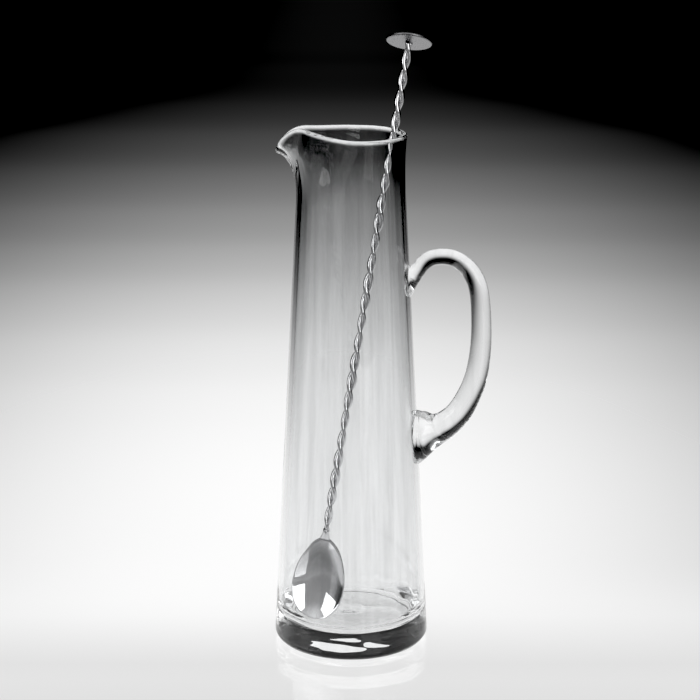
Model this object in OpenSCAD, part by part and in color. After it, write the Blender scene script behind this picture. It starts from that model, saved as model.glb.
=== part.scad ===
// Tall tapered glass pitcher with a pinched pouring lip and an applied rod handle,
// with its long twisted stirring spoon standing in it. Millimetres, +Z up.
// The origin is the centre of the flat base, the handle points to +X and the lip to -X.

/* [Glass body] */
// Height of the rim's centre line above the table
pitcher_h = 300; // [270:1:330]
// Outer diameter just above the rounded heel
base_d = 91; // [84:1:100]
// Outer diameter of the throat, where the rim section begins
throat_d = 62.8; // [58:0.5:68]
// Thickness of the side wall
wall_t = 2.9; // [2.4:0.1:3.6]
// Thickness of the heavy bottom at its centre
floor_t = 12.6; // [10:0.2:16]
// Rise of the inner floor from its centre to its edge
floor_rise = 0.9; // [0.5:0.1:2.5]
// Radius of the rounded corner between floor and wall
corner_r = 12; // [9:0.5:14]
// Radius of the rounded outer heel
heel_r = 4.3; // [2:0.1:6]

/* [Rim and lip] */
// Height of the rim section, measured down from the rim
rim_h = 38; // [34:1:44]
// Radius of the rim's centre line on the handle side
rim_r = 29.9; // [28:0.1:32]
// Thickness of the fire-polished rim bead
rim_t = 3.9; // [3:0.1:4.4]
// Rise of the rim's shoulders beside the pouring lip
shoulder_rise = 2.8; // [1:0.1:4]
// Reach of the pouring lip from the axis
lip_reach = 41; // [38:0.5:46]
// Width of the pouring lip between its centre lines
lip_w = 9.2; // [8:0.1:12]
// Drop of the lip's tip below the rim
lip_drop = 8.5; // [5:0.5:12]

/* [Handle] */
// Height of the middle of the upper joint with the wall
handle_top_z = 216; // [205:1:228]
// Height of the middle of the lower pad
handle_low_z = 124; // [116:1:136]
// Greatest distance from the wall to the rod's centre line
handle_out = 39.8; // [34:0.2:46]
// Rise of the rod's crest above the upper joint
handle_crest = 16; // [12:0.5:20]
// Rod diameter at the crest
rod_d = 9.6; // [8:0.1:11]
// Height of the lower pad on the wall
pad_h = 32; // [26:1:38]
// Width of the lower pad
pad_w = 24; // [18:1:28]

/* [Spoon] */
// Length of the twisted stem, from the neck to the disc
stem_len = 287; // [272:1:304]
// Diameter of each of the two wires
wire_d = 2.6; // [2.2:0.1:3]
// Length of one full turn of the twist
twist_pitch = 23.5; // [20:0.1:28]
// Length of the bowl
bowl_len = 50; // [44:1:56]
// Greatest width of the bowl
bowl_w = 30.5; // [25:0.5:33]
// Depth of the bowl
bowl_depth = 5.2; // [4:0.1:9]
// Thickness of the bowl's sheet
bowl_t = 1.2; // [1:0.1:1.6]
// Length of the neck between bowl and stem
neck_len = 6; // [5:0.5:9]
// Diameter of the flat disc on top
disc_d = 26; // [22:0.5:30]
// Thickness of the disc
disc_t = 1.6; // [1.2:0.1:2.4]
// Distance of the bowl's tip from the edge of the flat floor
tip_inset = -1.5; // [-2:0.1:6]

/* [Hidden] */

// Gap kept where the loose spoon touches the glass
touch_gap = 0.3;
// Gap between the two wires
wire_gap = 0.1;
// Inset and depth of the rim section's tongue inside the wall below it
seam_inset = 0.06;
tongue_h = 1.5;

// Sides of the polygons that stand for arcs and swept rods, and steps between named rows
arc_steps = 10;
rod_sides = 20;
wire_sides = 8;
wire_rings_a_turn = 12;
rim_levels = 8;
rim_steps = 2;

glass_color = [0.78, 0.86, 0.88, 0.5];
steel_color = [0.74, 0.75, 0.77];

function lerp(a, b, t) = a + (b - a) * t;
function unit(v) = v / norm(v);
function flat(lists) = [for (list = lists) for (item = list) item];
// Smooth curve through points: p1 to p2 with the neighbours p0 and p3
function curve(p0, p1, p2, p3, t) =
    (2 * p1 + (p2 - p0) * t + (2 * p0 - 5 * p1 + 4 * p2 - p3) * t * t
     + (3 * p1 - p0 - 3 * p2 + p3) * t * t * t) / 2;
// Resamples a list whose first and last entries only steer the ends
function smooth(p, steps) = concat(
    flat([for (i = [1 : len(p) - 3]) [for (s = [0 : steps - 1])
        curve(p[i - 1], p[i], p[i + 1], p[i + 2], s / steps)]]),
    [p[len(p) - 2]]);
function bezier(a, b, c, d, t) =
    a * pow(1 - t, 3) + b * 3 * t * pow(1 - t, 2) + c * 3 * t * t * (1 - t) + d * pow(t, 3);
function arc(centre, r, from, to) =
    [for (i = [0 : arc_steps]) centre + r * [cos(lerp(from, to, i / arc_steps)), sin(lerp(from, to, i / arc_steps))]];

// Closed skin over a ring of sections that each hold the same number of points
module ring_of_sections(sections) {
    n = len(sections);
    k = len(sections[0]);
    at = function(i, j) (i % n) * k + j % k;
    polyhedron(flat(sections), flat([for (i = [0 : n - 1]) for (j = [0 : k - 1])
        [[at(i, j), at(i, j + 1), at(i + 1, j + 1)], [at(i, j), at(i + 1, j + 1), at(i + 1, j)]]]));
}

// Solid rod through a list of rings, closed by a flat end at each side
module rod_of_rings(rings) {
    n = len(rings);
    k = len(rings[0]);
    side = flat([for (i = [0 : n - 2]) for (j = [0 : k - 1]) let (m = (j + 1) % k)
        [[i * k + j, (i + 1) * k + m, i * k + m], [i * k + j, (i + 1) * k + j, (i + 1) * k + m]]]);
    polyhedron(flat(rings), concat(side, [[for (j = [0 : k - 1]) j]],
        [[for (j = [k - 1 : -1 : 0]) (n - 1) * k + j]]));
}

// Glass body: a straight taper from the heel to the throat

throat_z = pitcher_h - rim_h;
taper = (base_d - throat_d) / 2 / (throat_z - heel_r);
function outer_r(z) = base_d / 2 - taper * (z - heel_r);
function inner_r(z) = outer_r(z) - wall_t;
corner_z = floor_t + floor_rise + corner_r;
corner_x = inner_r(corner_z) - corner_r;
function floor_z(r) = let (over = max(r - corner_x, 0))
    floor_t + floor_rise * min(r / corner_x, 1) + corner_r - sqrt(corner_r * corner_r - over * over);

module glass_body() color(glass_color) union() {
    rotate_extrude($fn = 96) polygon(concat(
        [[0, 0]],
        arc([base_d / 2 - heel_r, heel_r], heel_r, -90, 0),
        [[outer_r(throat_z), throat_z], [inner_r(throat_z), throat_z]],
        arc([corner_x, corner_z], corner_r, 0, -90),
        [[0, floor_t]]));
    rim_section();
}

// Rim seen from above, from the handle side to the shoulder: x and y in rim radii, rise in shoulder rises
rim_share = [[0.99, 0, 0], [0.96, 0.27, 0], [0.86, 0.53, 0], [0.73, 0.70, 0], [0.56, 0.84, 0],
    [0.34, 0.94, 0], [0.08, 0.94, 0.05], [-0.20, 0.825, 0.25], [-0.40, 0.68, 0.42],
    [-0.575, 0.53, 0.60], [-0.73, 0.375, 0.80], [-0.86, 0.245, 1]];
// Lip from the shoulder to its tip: share of the way out, half widths, share of the way down
lip_share = [[0.28, 1.08, 0.03], [0.55, 0.98, 0.2], [0.81, 0.84, 0.52], [0.95, 0.52, 0.84], [1, 0, 1]];
shoulder_x = rim_share[len(rim_share) - 1][0] * rim_r;
rim_half = concat(
    [for (p = rim_share) [p[0] * rim_r, p[1] * rim_r, pitcher_h + p[2] * shoulder_rise]],
    [for (p = lip_share) [lerp(shoulder_x, -lip_reach, p[0]), p[1] * lip_w / 2,
        lerp(pitcher_h + shoulder_rise, pitcher_h - lip_drop, p[2])]]);
rim_last = len(rim_half) - 1;
function over_xz(p) = [p[0], -p[1], p[2]];
half_line = smooth(concat([over_xz(rim_half[1])], rim_half, [over_xz(rim_half[rim_last - 1])]), rim_steps);
half_last = len(half_line) - 1;
rim_line = concat(half_line, [for (i = [half_last - 1 : -1 : 1]) over_xz(half_line[i])]);
// Length of the rim line from its start to point i, which spreads the points round the throat
function line_len(i) = i == 0 ? 0 : line_len(i - 1) + norm(half_line[i] - half_line[i - 1]);
half_len = line_len(half_last);
half_angle = [for (i = [0 : half_last]) 180 * line_len(i) / half_len];
rim_angle = concat(half_angle, [for (i = [half_last - 1 : -1 : 1]) 360 - half_angle[i]]);

throat_r = (outer_r(throat_z) + inner_r(throat_z)) / 2;
// Share of the rim section's height over which the wall keeps its taper, and the rim its flare
taper_share = 0.4;
flare_share = 0.3;
lip_lean_share = 0.3;
// Centre line of the wall from the throat to rim point i
function wall_point(i, v) = let (
    q = rim_line[i], a = rim_angle[i], rise = q[2] - throat_z,
    out = [cos(a), sin(a), 0],
    lip = q[0] < shoulder_x ? pow((shoulder_x - q[0]) / (shoulder_x + lip_reach), 2) : 0,
    lean = unit((1 - lip) * (out * taper + [0, 0, 1]) + lip * [-1, 0, lip_lean_share]),
    foot = out * throat_r + [0, 0, throat_z])
    bezier(foot, foot + ([0, 0, 1] - out * taper) * rise * taper_share,
           q - lean * rise * flare_share, q, v);
function wall_normal(i, j) = let (
    n = len(rim_line), v = j / rim_levels, d = 1 / rim_levels / 4,
    along = wall_point((i + 1) % n, v) - wall_point((i + n - 1) % n, v),
    up = wall_point(i, min(v + d, 1)) - wall_point(i, max(v - d, 0)))
    j == 0 ? [cos(rim_angle[i]), sin(rim_angle[i]), 0] : unit(cross(along, up));
function rim_wall_section(i) = let (
    foot = wall_point(i, 0) - [0, 0, tongue_h],
    out = wall_normal(i, 0), foot_t = wall_t / 2 - seam_inset,
    half = [for (j = [0 : rim_levels]) j == 0 ? foot_t : lerp(wall_t, rim_t, pow(j / rim_levels, 3)) / 2],
    top = wall_point(i, 1), side = wall_normal(i, rim_levels),
    up = unit(top - wall_point(i, 1 - 1 / rim_levels / 4)))
    concat([foot + out * foot_t],
        [for (j = [0 : rim_levels]) wall_point(i, j / rim_levels) + wall_normal(i, j) * half[j]],
        [for (a = [45, 90, 135]) top + (side * cos(a) + up * sin(a)) * rim_t / 2],
        [for (j = [rim_levels : -1 : 0]) wall_point(i, j / rim_levels) - wall_normal(i, j) * half[j]],
        [foot - out * foot_t]);

module rim_section() ring_of_sections([for (i = [0 : len(rim_line) - 1]) rim_wall_section(i)]);

// Handle: one rod of glass, thin at its crest and thick at the pad where it was first set down.
// Rows run from the upper joint to the pad: stand-off from the wall, height, thickness in the handle's
// plane, thickness across it, and how far the section there is turned square to the wall.
function rod(out_share, z, tall_share, wide_share, level_share = 0) =
    [handle_out * out_share, z, rod_d * tall_share, rod_d * wide_share, level_share];
function pad(out_share, z, tall_share, wide_share, level_share) =
    [handle_out * out_share, z, pad_h * tall_share, pad_w * wide_share, level_share];
function above(share) = handle_top_z + handle_crest * share;
function between(share) = lerp(handle_low_z, handle_top_z, share);
// Depth of the buried ends, inside the wall, where they are cut away flush with it
buried = -1.4;
handle_rows = [
    [buried, above(0.02), rod_d * 2.05, rod_d * 1.5, 1], rod(0.02, above(0.09), 1.95, 1.45, 1),
    rod(0.09, above(0.36), 1.45, 1.2, 0.9), rod(0.19, above(0.70), 1, 1, 0.5),
    rod(0.31, above(0.92), 0.96, 0.97, 0.2),
    rod(0.48, above(1), 0.98, 0.98), rod(0.65, above(0.94), 1, 1), rod(0.80, above(0.70), 1.04, 1.04),
    rod(0.91, above(0.34), 1.1, 1.1), rod(0.975, above(-0.12), 1.14, 1.14), rod(1, between(0.86), 1.17, 1.17),
    rod(0.995, between(0.70), 1.22, 1.22), rod(0.97, between(0.58), 1.27, 1.26),
    rod(0.925, between(0.465), 1.32, 1.30), rod(0.85, between(0.355), 1.39, 1.36),
    rod(0.73, between(0.245), 1.47, 1.44), rod(0.59, between(0.155), 1.56, 1.52),
    rod(0.43, between(0.09), 1.7, 1.66, 0.2),
    pad(0.28, between(0.05), 0.60, 0.72, 0.5), pad(0.15, between(0.025), 0.82, 0.88, 0.8),
    pad(0.05, between(0), 0.97, 0.98, 1), [buried, between(0), pad_h, pad_w, 1]];
handle_steps = 2;

handle_line = let (p = [for (r = handle_rows) [outer_r(r[1]) + r[0], r[1], r[2], r[3], r[4]]], last = len(p) - 1)
    smooth(concat([2 * p[0] - p[1]], p, [2 * p[last] - p[last - 1]]), handle_steps);
function handle_ring(i) = let (
    last = len(handle_line) - 1, c = handle_line[i],
    a = handle_line[max(i - 1, 0)], b = handle_line[min(i + 1, last)],
    level = [sign(last / 2 - i), 0, 0],
    along = unit(lerp(unit([b[0] - a[0], 0, b[1] - a[1]]), level, c[4])), across = cross([0, 1, 0], along))
    [for (s = [0 : rod_sides - 1]) let (t = 360 * s / rod_sides)
        [c[0], 0, c[1]] + across * c[2] / 2 * cos(t) + [0, 1, 0] * c[3] / 2 * sin(t)];

module handle() color(glass_color) difference() {
    rod_of_rings([for (i = [0 : len(handle_line) - 1]) handle_ring(i)]);
    translate([0, 0, heel_r]) cylinder(h = throat_z - heel_r, r1 = outer_r(heel_r), r2 = outer_r(throat_z), $fn = 96);
}

// Spoon: it stands with the bowl's tip on the floor and leans its stem against the rim

// Directions on the plan, in degrees from +X, of the tip's place and of the stem's rest on the rim
tip_turn = -131.3;
rest_turn = 24;
// Lean of the bowl from the tip to the neck, as shares of its length, and the turn of its face from -Y
bowl_lean_share = [0.12, 0.26, 0.95];
bowl_face_turn = -6;
// The lowest point is the sheet's back edge; at the rim the two wires cross and reach less far out
tip_sink_share = 0.7;
stem_reach_share = 0.80;
tip_r = corner_x - tip_inset;
tip = [tip_r * cos(tip_turn), tip_r * sin(tip_turn), floor_z(tip_r) + touch_gap + bowl_t * tip_sink_share];
bowl_dir = unit(bowl_lean_share);
neck_foot = tip + bowl_dir * bowl_len;
rest_r = rim_share[0][0] * rim_r - rim_t / 2 - wire_d * stem_reach_share - touch_gap;
rest = [rest_r * cos(rest_turn), rest_r * sin(rest_turn), pitcher_h];
stem_dir = unit(rest - neck_foot);
stem_foot = neck_foot + stem_dir * neck_len;
stem_top = stem_foot + stem_dir * stem_len;

// Turns +Z to a direction and keeps -Y facing the given way on the plan
module lean(dir, turn) {
    side = atan2(dir[1], dir[0]);
    rotate([0, acos(dir[2]), side]) rotate([0, 0, turn - side]) children();
}

// Outline of the bowl's right half, from above the cut at the neck to the tip: half widths and share
// of the length
bowl_share = [[0.19, 1.04], [0.23, 1], [0.45, 0.925], [0.70, 0.805], [0.915, 0.62], [1, 0.435], [0.885, 0.25],
    [0.63, 0.11], [0.32, 0.028], [0, 0]];
bowl_mid_share = 0.44;
bowl_levels_share = [0.3, 0.55, 0.75, 0.9, 1];
// Step towards the middle over which the slope of the sheet is taken
slope_share = 0.025;
bowl_half = smooth(concat([[0.15, 1.08]], bowl_share, [[-0.32, 0.028]]), 3);
bowl_line = let (last = len(bowl_half) - 1)
    concat(bowl_half, [for (i = [last - 1 : -1 : 0]) [-bowl_half[i][0], bowl_half[i][1]]]);
// Point of the concave face at share q from the middle to outline point i
function bowl_point(i, q) = let (p = bowl_line[i], mid = bowl_mid_share * bowl_len)
    [q * p[0] * bowl_w / 2, bowl_depth * (1 - pow(q, 2)), lerp(mid, p[1] * bowl_len, q)];
function bowl_back(i, q) = let (
    n = len(bowl_line), out = bowl_point(i, q) - bowl_point(i, q - slope_share),
    along = bowl_point(min(i + 1, n - 1), q) - bowl_point(max(i - 1, 0), q))
    bowl_point(i, q) + unit(cross(out, along)) * bowl_t;

module spoon_bowl() color(steel_color) difference() {
    translate(tip) lean(bowl_dir, bowl_face_turn) bowl_sheet();
    translate(neck_foot) lean(bowl_dir, 0) cylinder(h = neck_len, d = disc_d, $fn = 48);
}

module bowl_sheet() {
    n = len(bowl_line);
    m = len(bowl_levels_share);
    front = flat([for (q = bowl_levels_share) [for (i = [0 : n - 1]) bowl_point(i, q)]]);
    back = flat([for (q = bowl_levels_share) [for (i = [0 : n - 1]) bowl_back(i, q)]]);
    middle = [[0, bowl_depth, bowl_mid_share * bowl_len], [0, bowl_depth + bowl_t, bowl_mid_share * bowl_len]];
    b = n * m;
    c = 2 * b;
    quads = flat([for (j = [0 : m - 2]) for (i = [0 : n - 1]) let (k = (i + 1) % n)
        [[j * n + i, j * n + k, (j + 1) * n + k, (j + 1) * n + i],
         [b + j * n + i, b + (j + 1) * n + i, b + (j + 1) * n + k, b + j * n + k]]]);
    edge = [for (i = [0 : n - 1]) let (k = (i + 1) % n, r = (m - 1) * n)
        [r + i, r + k, b + r + k, b + r + i]];
    caps = flat([for (i = [0 : n - 1]) let (k = (i + 1) % n) [[c, k, i], [c + 1, b + i, b + k]]]);
    faces = concat(caps, flat([for (f = concat(quads, edge)) [[f[0], f[1], f[2]], [f[0], f[2], f[3]]]]));
    polyhedron(concat(front, back, middle), [for (f = faces) [f[2], f[1], f[0]]]);
}

// Neck: a short brazed collar, oval round the wires at its top and flat round the sheet at its foot
neck_top_w = 4.2;
neck_top_t = 6;
neck_foot_w = 6.6;
neck_foot_t = 3.2;
// Place of the collar's waist, and how far its width and thickness have changed there
neck_waist_shares = [0.45, 0.6, 0.55];
// Rows: height, width and thickness; the first lies below the cut that seats the neck on the bowl
neck_rows = [[-neck_foot_t, neck_foot_w, neck_foot_t], [0, neck_foot_w, neck_foot_t],
    [neck_len * neck_waist_shares[0], lerp(neck_foot_w, neck_top_w, neck_waist_shares[1]),
        lerp(neck_foot_t, neck_top_t, neck_waist_shares[2])],
    [neck_len, neck_top_w, neck_top_t]];

module spoon_neck() color(steel_color) difference() {
    translate(neck_foot) lean(stem_dir, bowl_face_turn) rod_of_rings([for (r = neck_rows)
        [for (k = [0 : rod_sides - 1]) let (t = 360 * k / rod_sides)
            [r[1] / 2 * cos(t), r[2] / 2 * sin(t), r[0]]]]);
    translate(neck_foot) lean(-bowl_dir, 0) cylinder(h = neck_len, d = disc_d, $fn = 48);
}

// Stem: two round wires twisted left-handed about each other
twist_start = -54;
wire_orbit = (wire_d + wire_gap) / 2;
function wire_ring(s, phase) = let (
    a = phase - 360 * s / twist_pitch, w = -2 * PI / twist_pitch,
    out = [cos(a), sin(a), 0],
    along = unit([-sin(a) * wire_orbit * w, cos(a) * wire_orbit * w, 1]),
    side = cross(along, out), c = out * wire_orbit + [0, 0, s])
    [for (k = [0 : wire_sides - 1]) let (t = 360 * (k + 0.5) / wire_sides)
        c + (out * cos(t) + side * sin(t)) * wire_d / 2];

// Each wire runs past both ends and is cut flush with the neck and with the disc
module stem_wire(phase) {
    rings = ceil((stem_len + 2 * wire_d) / twist_pitch * wire_rings_a_turn);
    color(steel_color) difference() {
        translate(stem_foot) lean(stem_dir, 0) rod_of_rings([for (i = [0 : rings])
            wire_ring(lerp(-wire_d, stem_len + wire_d, i / rings), phase)]);
        translate(stem_foot) lean(-stem_dir, 0) cylinder(h = neck_len, d = disc_d, $fn = 48);
        translate(stem_top) lean(disc_dir, 0) cylinder(h = disc_d, d = disc_d, $fn = 48);
    }
}

module stem_wire_a() stem_wire(twist_start);
module stem_wire_b() stem_wire(twist_start + 180);

// Disc: flat, with a rounded edge, set slanted on the end of the stem
disc_lean_share = [0.072, 0.431, 0.899];
disc_dir = unit(disc_lean_share);

module spoon_disc() color(steel_color) translate(stem_top) lean(disc_dir, 0)
    rotate_extrude($fn = 96) polygon(concat([[0, 0]],
        arc([disc_d / 2 - disc_t / 2, disc_t / 2], disc_t / 2, -90, 90), [[0, disc_t]]));

glass_body();
handle();
spoon_bowl();
spoon_neck();
stem_wire_a();
stem_wire_b();
spoon_disc();
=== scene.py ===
"""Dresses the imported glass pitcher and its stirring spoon, and sets them on a pale floor.

The pitcher's body, its handle and the spoon's five pieces are each modelled at full resolution in place
of the plain CAD nodes, from the same sizes. All lengths are in metres, +Z up, handle to +X, lip to -X.
"""

import logging
import math
from dataclasses import dataclass, field
from enum import Enum
from typing import Sequence

import bmesh
import bpy
from mathutils import Matrix, Vector, noise


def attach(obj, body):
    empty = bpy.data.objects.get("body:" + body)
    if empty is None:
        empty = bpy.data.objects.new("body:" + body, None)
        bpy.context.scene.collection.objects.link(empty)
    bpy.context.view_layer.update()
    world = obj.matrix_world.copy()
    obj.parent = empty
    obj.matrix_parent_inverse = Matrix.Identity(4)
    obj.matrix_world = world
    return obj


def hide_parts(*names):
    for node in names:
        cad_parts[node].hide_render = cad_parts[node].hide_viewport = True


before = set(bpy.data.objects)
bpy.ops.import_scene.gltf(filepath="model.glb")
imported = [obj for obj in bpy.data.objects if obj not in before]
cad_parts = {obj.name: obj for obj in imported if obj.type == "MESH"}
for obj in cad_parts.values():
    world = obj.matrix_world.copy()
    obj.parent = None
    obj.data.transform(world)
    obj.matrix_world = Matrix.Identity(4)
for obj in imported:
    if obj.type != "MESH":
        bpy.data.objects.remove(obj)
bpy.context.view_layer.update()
LOG = logging.getLogger("cocktail_pitcher")

MM = 0.001
TINY = 1e-7
TWIST_START = math.radians(-54)
WAVE_DETAIL = 1.5
MARK_DETAIL = 4.0
MARK_SPAN = (0.45, 0.75)
UP = Vector((0.0, 0.0, 1.0))
SIDE = Vector((0.0, 1.0, 0.0))


class Body(str, Enum):
    """The CAD bodies that the pieces ride on."""

    PITCHER = "pitcher"
    SPOON = "spoon"


class Slot(str, Enum):
    """The record's material slots."""

    CLEAR_GLASS = "clear_glass"
    HANDLE_GLASS = "handle_glass"
    POLISHED_STEEL = "polished_steel"
    POLISHED_WIRE = "polished_wire"


def lerp(a: float, b: float, share: float) -> float:
    """Returns the value that lies at a share of the way from a to b."""
    return a + (b - a) * share


def clamp(value: float, low: float = 0.0, high: float = 1.0) -> float:
    """Returns the value, kept between low and high."""
    return max(low, min(high, value))


def smooth_step(low: float, high: float, value: float) -> float:
    """Returns 0 below low, 1 above high and a soft rise between them."""
    share = clamp((value - low) / (high - low))
    return share * share * (3 - 2 * share)


def curve_point(points: Sequence[Vector], place: float) -> Vector:
    """Reads a smooth curve through points.

    Args:
        points: Points of the curve; the first and the last only steer its ends.
        place: Place on the curve, 0 at the second point and 1 more at each next one.

    Returns:
        The point of the curve there.
    """
    last = len(points) - 3
    i = min(int(clamp(place, 0, last)), last - 1) + 1
    t = clamp(place, 0, last) - (i - 1)
    p0, p1, p2, p3 = points[i - 1], points[i], points[i + 1], points[i + 2]
    return (2 * p1 + (p2 - p0) * t + (2 * p0 - 5 * p1 + 4 * p2 - p3) * (t * t)
            + (3 * p1 - p0 - 3 * p2 + p3) * (t * t * t)) / 2


def upright(direction: Vector, turn: float) -> Matrix:
    """Turns +Z to a direction and keeps -Y facing a given way on the plan.

    Args:
        direction: The direction that +Z is turned to.
        turn: Angle on the plan, in radians, that the turn ends at.

    Returns:
        The rotation as a 4x4 matrix.
    """
    side = math.atan2(direction.y, direction.x)
    tilt = math.acos(clamp(direction.normalized().z, -1, 1))
    return Matrix.Rotation(side, 4, "Z") @ Matrix.Rotation(tilt, 4, "Y") @ Matrix.Rotation(turn - side, 4, "Z")


def finish_piece(bm: bmesh.types.BMesh, name: str, body: Body, material: bpy.types.Material,
                 nodes: Sequence[str]) -> bpy.types.Object:
    """Makes an object of a finished mesh and hangs it on its CAD body.

    Args:
        bm: The finished mesh, in place.
        name: Name of the piece.
        body: CAD body that it rides on.
        material: Its material.
        nodes: CAD nodes that it stands for.

    Returns:
        The new object.
    """
    for face in bm.faces:
        face.smooth = True
    mesh = bpy.data.meshes.new(name)
    bm.to_mesh(mesh)
    bm.free()
    mesh.materials.append(material)
    piece = bpy.data.objects.new(name, mesh)
    bpy.context.scene.collection.objects.link(piece)
    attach(piece, body.value)
    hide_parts(*nodes)
    LOG.info("%s: %d faces, rides on %s", name, len(mesh.polygons), body.value)
    return piece


def close_up(bm: bmesh.types.BMesh, distance: float = 1e-6) -> None:
    """Merges doubled vertices and turns all faces outwards."""
    bmesh.ops.remove_doubles(bm, verts=bm.verts, dist=distance)
    bmesh.ops.recalc_face_normals(bm, faces=bm.faces)


def sweep(bm: bmesh.types.BMesh, stations: Sequence[Matrix], sides: int) -> list[list[bmesh.types.BMVert]]:
    """Draws a unit circle through a row of places, as an open tube.

    Args:
        bm: Mesh to build in.
        stations: Matrices that put the unit circle at each place.
        sides: Number of sides of the circle.

    Returns:
        The rings of vertices, one for each place.
    """
    ring = bmesh.ops.create_circle(bm, segments=sides, radius=1.0, matrix=stations[0])["verts"]
    rings = [ring]
    edges = list({edge for vert in ring for edge in vert.link_edges})
    for here, there in zip(stations, stations[1:]):
        made = bmesh.ops.extrude_edge_only(bm, edges=edges)["geom"]
        ring = [item for item in made if isinstance(item, bmesh.types.BMVert)]
        edges = [item for item in made if isinstance(item, bmesh.types.BMEdge)]
        bmesh.ops.transform(bm, matrix=there @ here.inverted(), verts=ring)
        edges = [edge for edge in edges if edge.verts[0] in ring and edge.verts[1] in ring]
        rings.append(ring)
    return rings


def cap_ends(bm: bmesh.types.BMesh, rings: Sequence[list[bmesh.types.BMVert]]) -> None:
    """Closes both ends of a swept tube with flat faces."""
    for ring in (rings[0], rings[-1]):
        edges = [edge for edge in bm.edges if edge.is_boundary and edge.verts[0] in ring]
        bmesh.ops.contextual_create(bm, geom=edges)


# ---------------------------------------------------------------- pitcher


@dataclass(frozen=True)
class WallSizes:
    """Sizes of the blown body, shared by the body and by the handle that is set on it."""

    height: float = 300 * MM
    base_radius: float = 45.5 * MM
    throat_radius: float = 31.4 * MM
    wall: float = 2.9 * MM
    floor: float = 12.6 * MM
    floor_rise: float = 0.9 * MM
    corner_radius: float = 12 * MM
    heel_radius: float = 4.3 * MM
    rim_height: float = 38 * MM

    @property
    def throat_z(self) -> float:
        """Height at which the rim section begins."""
        return self.height - self.rim_height

    @property
    def taper(self) -> float:
        """Loss of radius for each unit of height."""
        return (self.base_radius - self.throat_radius) / (self.throat_z - self.heel_radius)

    def outer(self, z: float) -> float:
        """Outer radius of the wall at a height."""
        return self.base_radius - self.taper * (z - self.heel_radius)

    def inner(self, z: float) -> float:
        """Inner radius of the wall at a height."""
        return self.outer(z) - self.wall

    @property
    def corner(self) -> tuple[float, float]:
        """Centre of the rounded corner between floor and wall, as radius and height."""
        z = self.floor + self.floor_rise + self.corner_radius
        return self.inner(z) - self.corner_radius, z


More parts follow.
